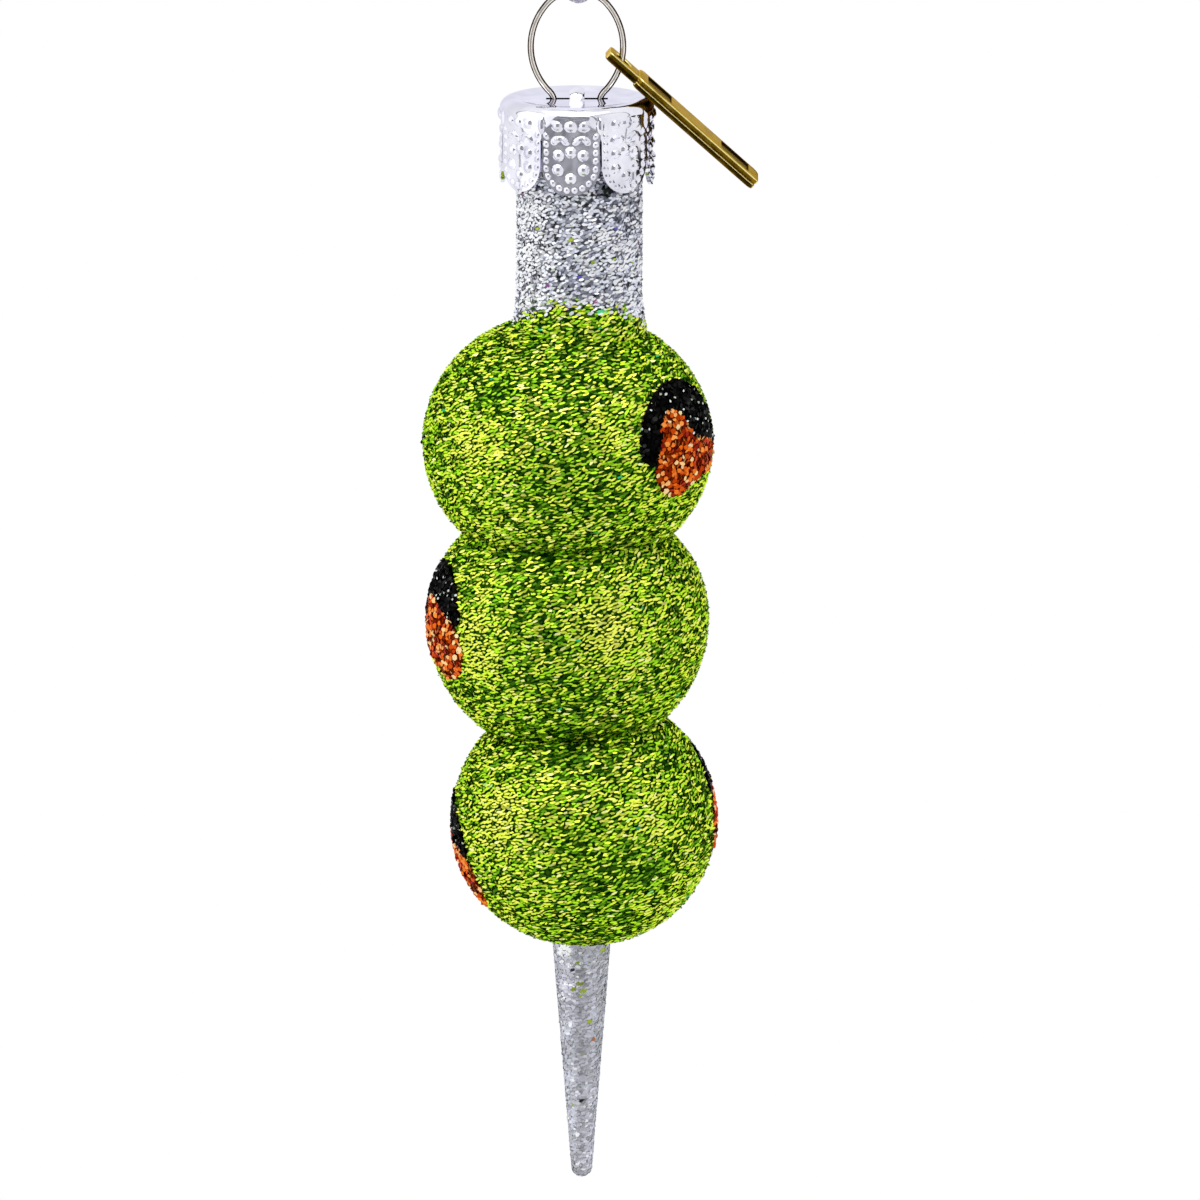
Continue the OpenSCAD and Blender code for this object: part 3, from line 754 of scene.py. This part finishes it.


# Glitter: a base coat on each solid, and chips scattered over it. Lengths are in mm, flat is
# how much closer the chips stand up and down, and strays is the share of odd chips: odd flakes, and pale
# chips painted as glints

glitter = {
    "green": {
        "slot": "green_glitter",
        "coat": [(0.1, paint(4, 22, 6)), (0.5, paint(20, 58, 10)), (0.9, paint(60, 104, 16))],
        "chips": [(0.04, paint(14, 54, 8)), (0.2, paint(110, 173, 27)), (0.42, paint(186, 247, 45)),
                  (0.64, paint(232, 255, 69)), (0.9, paint(248, 255, 102))],
        # after its two teal colours the green's odd chips are pale, painted glints
        "stray": [(0.0, paint(10, 130, 80)), (0.03, paint(64, 214, 144)), (0.04, paint(236, 255, 100)),
                  (1.0, paint(252, 255, 164))],
        "long": 0.66, "short": 0.2, "spacing": 0.33, "flat": 1.45, "tilt": 0.3,
        "strayAndGlintShare": 0.06, "strayAndGlintSize": 1.1, "metal": 0.8, "sheen": 0.2, "edge": paint(206, 232, 112),
    },
    "silver": {
        "slot": "silver_glitter",
        "coat": [(0.1, paint(36, 36, 42)), (0.5, paint(104, 105, 115)), (0.9, paint(188, 189, 202))],
        # the darkest stop is also the painted shade in the gaps under the cap's petals
        "chips": [(0.0, paint(12, 24, 16)), (0.04, paint(76, 76, 86)), (0.13, paint(178, 181, 200)),
                  (0.27, paint(238, 241, 255)), (0.5, paint(247, 249, 255)), (0.85, paint(252, 253, 255))],
        "stray": [(0.0, paint(120, 20, 20)), (0.2, paint(206, 120, 132)), (0.4, paint(112, 104, 226)),
                  (0.6, paint(24, 24, 28)), (0.8, paint(168, 190, 60)), (1.0, paint(196, 214, 70))],
        "long": 0.55, "short": 0.26, "spacing": 0.262, "flat": 1, "tilt": 0.36,
        "strayAndGlintShare": 0.014, "strayAndGlintSize": 1, "metal": 0.5, "sheen": 0.4, "edge": paint(226, 228, 238),
    },
    "fine": {
        "slot": "silver_glitter",
        "coat": [(0.1, paint(148, 149, 155)), (0.5, paint(170, 171, 179)), (0.9, paint(194, 195, 205))],
        "chips": [(0.04, paint(158, 159, 163)), (0.3, paint(182, 183, 189)), (0.6, paint(196, 197, 206)),
                  (0.85, paint(214, 215, 229)), (0.97, paint(252, 253, 255))],
        "stray": [(0.0, paint(150, 168, 50)), (0.5, paint(176, 196, 66)), (0.8, paint(196, 110, 50)),
                  (1.0, paint(40, 40, 44))],
        "long": 0.5, "short": 0.25, "spacing": 0.2, "flat": 1, "tilt": 0.07,
        "strayAndGlintShare": 0.003, "strayAndGlintSize": 0.8, "metal": 0.6, "sheen": 0.4, "edge": paint(222, 224, 232),
    },
    "black": {
        "slot": "black_glitter",
        "coat": [(0.1, paint(0, 0, 0)), (0.5, paint(5, 5, 5)), (0.9, paint(12, 12, 12))],
        "chips": [(0.1, paint(2, 2, 2)), (0.5, paint(9, 9, 9)), (0.85, paint(20, 20, 20)),
                  (1.0, paint(52, 54, 50))],
        # the black's odd chips are white specks, painted glints
        "stray": [(0.0, paint(170, 180, 150)), (1.0, paint(246, 248, 250))],
        "long": 0.54, "short": 0.36, "spacing": 0.32, "flat": 1, "tilt": 0.3,
        "strayAndGlintShare": 0.1, "strayAndGlintSize": 0.56, "metal": 0.0, "sheen": 0.01, "edge": paint(255, 255, 255),
    },
    "orange": {
        "slot": "orange_glitter",
        "coat": [(0.1, paint(46, 6, 0)), (0.5, paint(104, 30, 3)), (0.9, paint(150, 60, 14))],
        "chips": [(0.04, paint(132, 22, 0)), (0.25, paint(198, 70, 10)), (0.55, paint(244, 116, 32)),
                  (0.8, paint(255, 166, 80)), (0.97, paint(255, 230, 168))],
        # the orange's odd chips are pale, painted highlights
        "stray": [(0.0, paint(254, 206, 136)), (1.0, paint(255, 226, 176))],
        "long": 0.6, "short": 0.42, "spacing": 0.36, "flat": 1, "tilt": 0.3,
        "strayAndGlintShare": 0.05, "strayAndGlintSize": 1.1, "metal": 0.72, "sheen": 0.2, "edge": paint(240, 150, 80),
    },
}
baseCoat = {"grain": 3600.0, "metal": 0.6, "rough": 0.45}


def coatFinish(name, look):
    finish = Finish(name + "_coat")
    cells = {"Vector": finish.place(), "Scale": baseCoat["grain"]}
    grain = finish.node("TexVoronoi", None, cells, "Color")
    edge = finish.node("TexVoronoi", None, cells, "Distance")
    tone = finish.ramp(look["coat"], grain)
    if name == "silver":
        tone = finish.mixed(greenOnNeck(finish), tone, finish.ramp(glitter["green"]["coat"], grain))
    return finish.surface({"Base Color": tone, "Metallic": look["metal"] * baseCoat["metal"],
                           "Roughness": baseCoat["rough"], "Normal": finish.bump(0.7, 0.06, edge),
                           "Specular IOR Level": 0.0, "Specular Tint": look["coat"][-1][1]})


# The green runs up the front of the neck, with a ragged edge
neckGreen = {"height": -29.5, "lean": -0.5, "ragged": 1.1, "grain": 900.0, "scatter": 0.4}


def greenOnNeck(finish):
    place = finish.place()
    y = finish.node("SeparateXYZ", None, {0: place}, 1)
    z = finish.node("SeparateXYZ", None, {0: place}, 2)
    rough = finish.noise(neckGreen["grain"])
    edge = neckGreen["height"] * mm + neckGreen["lean"] * y + (rough - 0.5) * (2 * neckGreen["ragged"] * mm)
    return z < edge


def chipFinish(name, look):
    finish = Finish(name + "_chips")
    tint = finish.node("Attribute", {"attribute_name": "tint"}, None, "Fac")
    stray = finish.node("Attribute", {"attribute_name": "stray"}, None, "Fac")
    main, odd = finish.ramp(look["chips"], tint), finish.ramp(look["stray"], stray)
    colour = finish.mixed(stray > 0.001, main, odd)   # 0 on a plain chip
    return finish.surface({"Base Color": colour, "Metallic": look["metal"], "Roughness": 0.24 + tint * 0.1,
                           "Specular IOR Level": look["sheen"], "Specular Tint": look["edge"]})


for name, look in glitter.items():
    look["coatFinish"] = coatFinish(name, look)
    look["chipFinish"] = chipFinish(name, look)


chip = {
    "sides": 6,
    "turn": (16, 15),        # from level, mean and spread in degrees
    "size": (0.8, 1.15),
    "lift": (0.02, 0.07),    # off the coat
    "root": 0.16,            # depth of the point below
    "level": 0.866,          # height of a six-sided ring's upper corners
    "cell": 0.36,            # radius in its cell of the bake
    "facing": 0.35,          # how far out a face has to look
    "tries": 9,              # for each place
    "blotchWidth": (1.6, 4.2), "blotchChange": (-0.36, 0.32),
    "perBlotch": 600,        # chips for each blotch
    "firstStray": 0.01,      # lowest place among the odd colours
    "seed": 410,
}


# Points spread evenly over the outside of a solid, closer one above another, with their normals
def spread(node, core, spacing, flat, rng):
    mesh = cad[node].data
    mesh.calc_loop_triangles()
    co = np.empty(len(mesh.vertices) * 3)
    mesh.vertices.foreach_get("co", co)
    co = co.reshape(-1, 3)
    tri = np.empty(len(mesh.loop_triangles) * 3, int)
    mesh.loop_triangles.foreach_get("vertices", tri)
    a, b, c = (co[tri.reshape(-1, 3)[:, k]] for k in range(3))
    normal = np.cross(b - a, c - a)
    area = np.linalg.norm(normal, axis=1)
    good = area > 1e-14
    a, b, c, normal, area = a[good], b[good], c[good], normal[good] / area[good][:, None], area[good]
    low, high = np.array(core[0]) * mm, np.array(core[1]) * mm
    axis = high - low
    middle = (a + b + c) / 3
    t = np.clip((middle - low) @ axis / max(axis @ axis, 1e-12), 0, 1)
    out = middle - (low + t[:, None] * axis)
    out /= np.linalg.norm(out, axis=1)[:, None]
    good = (normal * out).sum(1) > chip["facing"]
    a, b, c, normal, area = a[good], b[good], c[good], normal[good], area[good]
    many = int(area.sum() / 2 / spacing ** 2 * chip["tries"])
    pick = np.searchsorted(np.cumsum(area) / area.sum(), rng.random(many))
    pick = np.clip(pick, 0, len(area) - 1)
    u, v = rng.random(many), rng.random(many)
    over = u + v > 1
    u[over], v[over] = 1 - u[over], 1 - v[over]
    p = a[pick] + u[:, None] * (b - a)[pick] + v[:, None] * (c - a)[pick]
    tall = p * (1, 1, flat)
    cell = np.floor(tall / spacing).astype(int)
    taken, kept = {}, []
    near = [(i, j, k) for i in (-1, 0, 1) for j in (-1, 0, 1) for k in (-1, 0, 1)]
    limit = spacing ** 2
    for i, (point, (x, y, z)) in enumerate(zip(tall.tolist(), cell.tolist())):
        clear = True
        for dx, dy, dz in near:
            for q in taken.get((x + dx, y + dy, z + dz), ()):
                if (q[0] - point[0]) ** 2 + (q[1] - point[1]) ** 2 + (q[2] - point[2]) ** 2 < limit:
                    clear = False
                    break
            if not clear:
                break
        if clear:
            taken.setdefault((x, y, z), []).append(point)
            kept.append(i)
    return p[kept], normal[pick[kept]]


# Six-sided chips, each with a point that is set into the coat below it
def chipMesh(name, points, normals, look, rng, tint, stray, grow):
    many, sides = len(points), chip["sides"]
    wild = rng.normal(0, look["tilt"], (many, 3))
    face = normals + wild - normals * (wild * normals).sum(1)[:, None]
    face /= np.linalg.norm(face, axis=1)[:, None]
    right = np.cross((0, 0, 1.0), face)
    right /= np.maximum(np.linalg.norm(right, axis=1), 1e-9)[:, None]
    up = np.cross(face, right)
    turn = np.radians(rng.normal(*chip["turn"], many))[:, None]
    one = right * np.cos(turn) + up * np.sin(turn)
    two = up * np.cos(turn) - right * np.sin(turn)
    size = (rng.uniform(*chip["size"], many) * grow)[:, None] * mm / 2
    lift = rng.uniform(*chip["lift"], many)[:, None] * mm
    corner = np.radians(np.arange(sides) * 360 / sides)
    verts = np.empty((many, sides + 1, 3))
    for k, angle in enumerate(corner):
        verts[:, k] = (points + normals * lift + one * size * look["long"] * math.cos(angle)
                       + two * size * look["short"] * math.sin(angle) / chip["level"])
    verts[:, sides] = points - normals * chip["root"] * mm
    ring = list(range(sides))
    loops = ring + [v for k in ring for v in ((k + 1) % sides, k, sides)]
    sizes = [sides] + [3] * sides
    each = np.arange(many)[:, None]
    mesh = bpy.data.meshes.new(name)
    mesh.vertices.add(many * (sides + 1))
    mesh.vertices.foreach_set("co", verts.ravel())
    mesh.loops.add(many * len(loops))
    mesh.loops.foreach_set("vertex_index", (each * (sides + 1) + np.array(loops)).ravel())
    mesh.polygons.add(many * len(sizes))
    starts = np.concatenate([[0], np.cumsum(sizes)[:-1]])
    mesh.polygons.foreach_set("loop_start", (each * len(loops) + starts).ravel())
    for key, values in (("tint", tint), ("stray", stray)):
        mesh.attributes.new(key, "FLOAT", "FACE").data.foreach_set("value", np.repeat(values, len(sizes)))
    cells = math.ceil(math.sqrt(many))
    at = np.stack([np.arange(many) % cells, np.arange(many) // cells], 1) + 0.5
    spot = np.array([(chip["cell"] * math.cos(t), chip["cell"] * math.sin(t)) for t in corner] + [(0, 0)])
    uv = (at[:, None, :] + spot[loops][None]) / cells
    mesh.uv_layers.new(name="OFBake").data.foreach_set("uv", uv.ravel())
    mesh.update()
    mesh.validate()
    return mesh


# Every glittered solid: its colour and the line or point that it goes round
upper, middle, lower = (-0.8, 0, -39.79), (-0.8, 0, -55.39), (0.6, 0, -73.49)
coats = {
    "neck_glitter": ("silver", (0.2, 0, -9), (0.2, 0, -33)),
    "upper_olive_glitter": ("green", upper, upper),
    "middle_olive_glitter": ("green", middle, middle),
    "lower_olive_glitter": ("green", lower, lower),
    "pick_glitter": ("fine", (0.4, 0, -80), (0.4, 0, -104.6)),
}
for spot, olive in (("upper_front", upper), ("upper_back", upper), ("middle_left", middle),
                    ("middle_back", middle), ("lower_left", lower), ("lower_right", lower)):
    coats[spot + "_pit"] = ("black", olive, olive)
    coats[spot + "_pimento"] = ("orange", olive, olive)


# Painted light on the glitter, seen from the front: paler places are painted highlights, darker places
# painted shade in the gaps under the cap's petals, near the creases, down the neck's middle and the pick's
# right side, and on the olives partly thinner glitter too. Across and height, width in mm, change of tint
paintedLightAndPatches = {
    "pick_glitter_chips": [(-1, -84.5, 1, 0.85), (-1, -88, 1, 0.85), (-1, -92, 0.9, 0.8),
                           (-0.5, -96, 0.8, 0.7), (-0.5, -100, 0.7, 0.6), (2.5, -85, 0.8, -0.7),
                           (2.5, -89, 0.8, -0.7), (2, -93, 0.7, -0.7), (2, -97, 0.7, -0.7)],
    "neck_glitter_chips": [(-4.5, -21, 4, 0.75), (-4, -26, 3, 0.6), (-1, -19.5, 1.7, -0.7),
                           (-0.5, -24.5, 1.6, -0.65), (3.5, -22.5, 2.6, 0.24), (2.5, -16, 0.8, -1.3),
                           (2.5, -17, 0.7, -1.2), (-3.5, -16, 0.7, -0.8)],
    "upper_olive_glitter_chips": [(-8, -34, 1.3, -0.45), (-6, -33.5, 1.4, -0.5), (-9, -38, 3.2, 0.55),
                                  (3, -37.5, 1.8, 0.6), (0.5, -41.5, 4, -0.22), (4, -30, 3, -0.25),
                                  (-1, -35, 1.2, -0.35)],
    "middle_olive_glitter_chips": [(2.5, -53.5, 3, 0.8), (3.5, -56.5, 2.6, 0.3), (-9, -54.5, 2, 0.65),
                                   (-8.5, -57.5, 2, 0.65), (4, -49.5, 2, 0.25)],
    "lower_olive_glitter_chips": [(-7, -72.5, 2.4, 0.4), (-7, -70.5, 2.2, 0.45), (6.5, -71, 3, 0.55),
                                  (0, -74, 2.2, -0.35), (-1, -66, 1.6, -0.4), (6.5, -76.5, 1.5, -0.65),
                                  (2, -80, 4, -0.25), (7.5, -66, 2.5, -0.25)],
}
# Odd flakes that show from the front: column and row in the picture, colour among the odd colours, size
flakes = {
    "neck_green_chips": [(602, 313, 0.03, 1.9)],
    "pick_glitter_chips": [(572, 956, 0.3, 1.3), (578, 964, 0.2, 1.6), (602, 952, 0.3, 1.7),
                           (580, 984, 0.2, 1.7), (584, 991, 0.3, 1.5), (574, 990, 0.2, 1.5),
                           (580, 997, 0.3, 1.2), (589, 1023, 0.2, 1.2), (582, 1056, 0.3, 1.1),
                           (572, 970, 1, 1.1), (562, 997, 1, 1), (581, 1102, 1, 1.1),
                           (573, 1148, 1, 0.9), (592, 1041, 0.8, 1.2)],
}


# The chip in front that is nearest to a place
def inFront(points, x, z):
    front = np.flatnonzero(points[:, 1] < 0)
    off = points[front][:, (0, 2)] - np.array((x, z)) * mm
    return front[(off ** 2).sum(1).argmin()]


# The chip in front that shows nearest to a pixel of the picture
def atPixel(points, column, row):
    rise, half = math.radians(view["rise"]), view["pixels"] / 2
    pixel = view["across"] / view["pixels"]
    front = np.flatnonzero(points[:, 1] < 0)
    seen = points[front] - np.array(view["aim"]) * mm
    across = seen[:, 0] - (column - half) * pixel
    up = seen[:, 1] * math.sin(rise) + seen[:, 2] * math.cos(rise) - (half - row) * pixel
    return front[(across ** 2 + up ** 2).argmin()]


# Tints from 0 to 1, with paler and darker blotches a few millimetres wide at random, and the painted
# highlights and painted shade of the marks
def blotchedTintAndPaintedLight(name, points, rng):
    tint = rng.random(len(points))
    blotchesAndPaintedLight = [(centre, rng.uniform(*chip["blotchWidth"]), rng.uniform(*chip["blotchChange"]))
                for centre in points[rng.integers(0, len(points), len(points) // chip["perBlotch"])]]
    # the listed painted highlights and painted shade
    blotchesAndPaintedLight += [(points[inFront(points, x, z)], wide, change) for x, z, wide, change in paintedLightAndPatches.get(name, [])]
    shift = np.zeros(len(points))
    for centre, wide, change in blotchesAndPaintedLight:
        shift += change * np.exp(-((points - centre) ** 2).sum(1) / (wide * mm) ** 2)
    shift = np.clip(shift, -1, 1)
    return np.where(shift > 0, tint + shift * (1 - tint), tint * (1 + shift))


def addChips(name, look, points, normals, rng):
    many = len(points)
    tint = blotchedTintAndPaintedLight(name, points, rng)
    # odd flakes and painted glints, scattered at random
    stray = np.where(rng.random(many) < look["strayAndGlintShare"], rng.uniform(chip["firstStray"], 1, many), 0.0)
    grow = np.where(stray > 0, look["strayAndGlintSize"], 1.0)
    for column, row, colour, size in flakes.get(name, []):
        nearest = atPixel(points, column, row)
        stray[nearest], grow[nearest] = colour, size
    mesh = chipMesh(name, points, normals, look, rng, tint, stray, grow)
    newPiece(name, mesh, "ornament", look["chipFinish"], False)
    print(name, many)


def makeGlitter():
    for seed, (node, (colour, low, high)) in enumerate(coats.items()):
        look = glitter[colour]
        rng = np.random.default_rng(chip["seed"] + seed)
        dress(node, look["coatFinish"])
        points, normals = spread(node, (low, high), look["spacing"] * mm, look["flat"], rng)
        if node == "neck_glitter":
            edge = neckGreen["height"] * mm + neckGreen["lean"] * points[:, 1]
            scatter = neckGreen["ragged"] * neckGreen["scatter"] * mm
            green = points[:, 2] < edge + rng.normal(0, scatter, len(points))
            addChips("neck_green_chips", glitter["green"], points[green], normals[green], rng)
            points, normals = points[~green], normals[~green]
        addChips(node + "_chips", look, points, normals, rng)


makeGlitter()
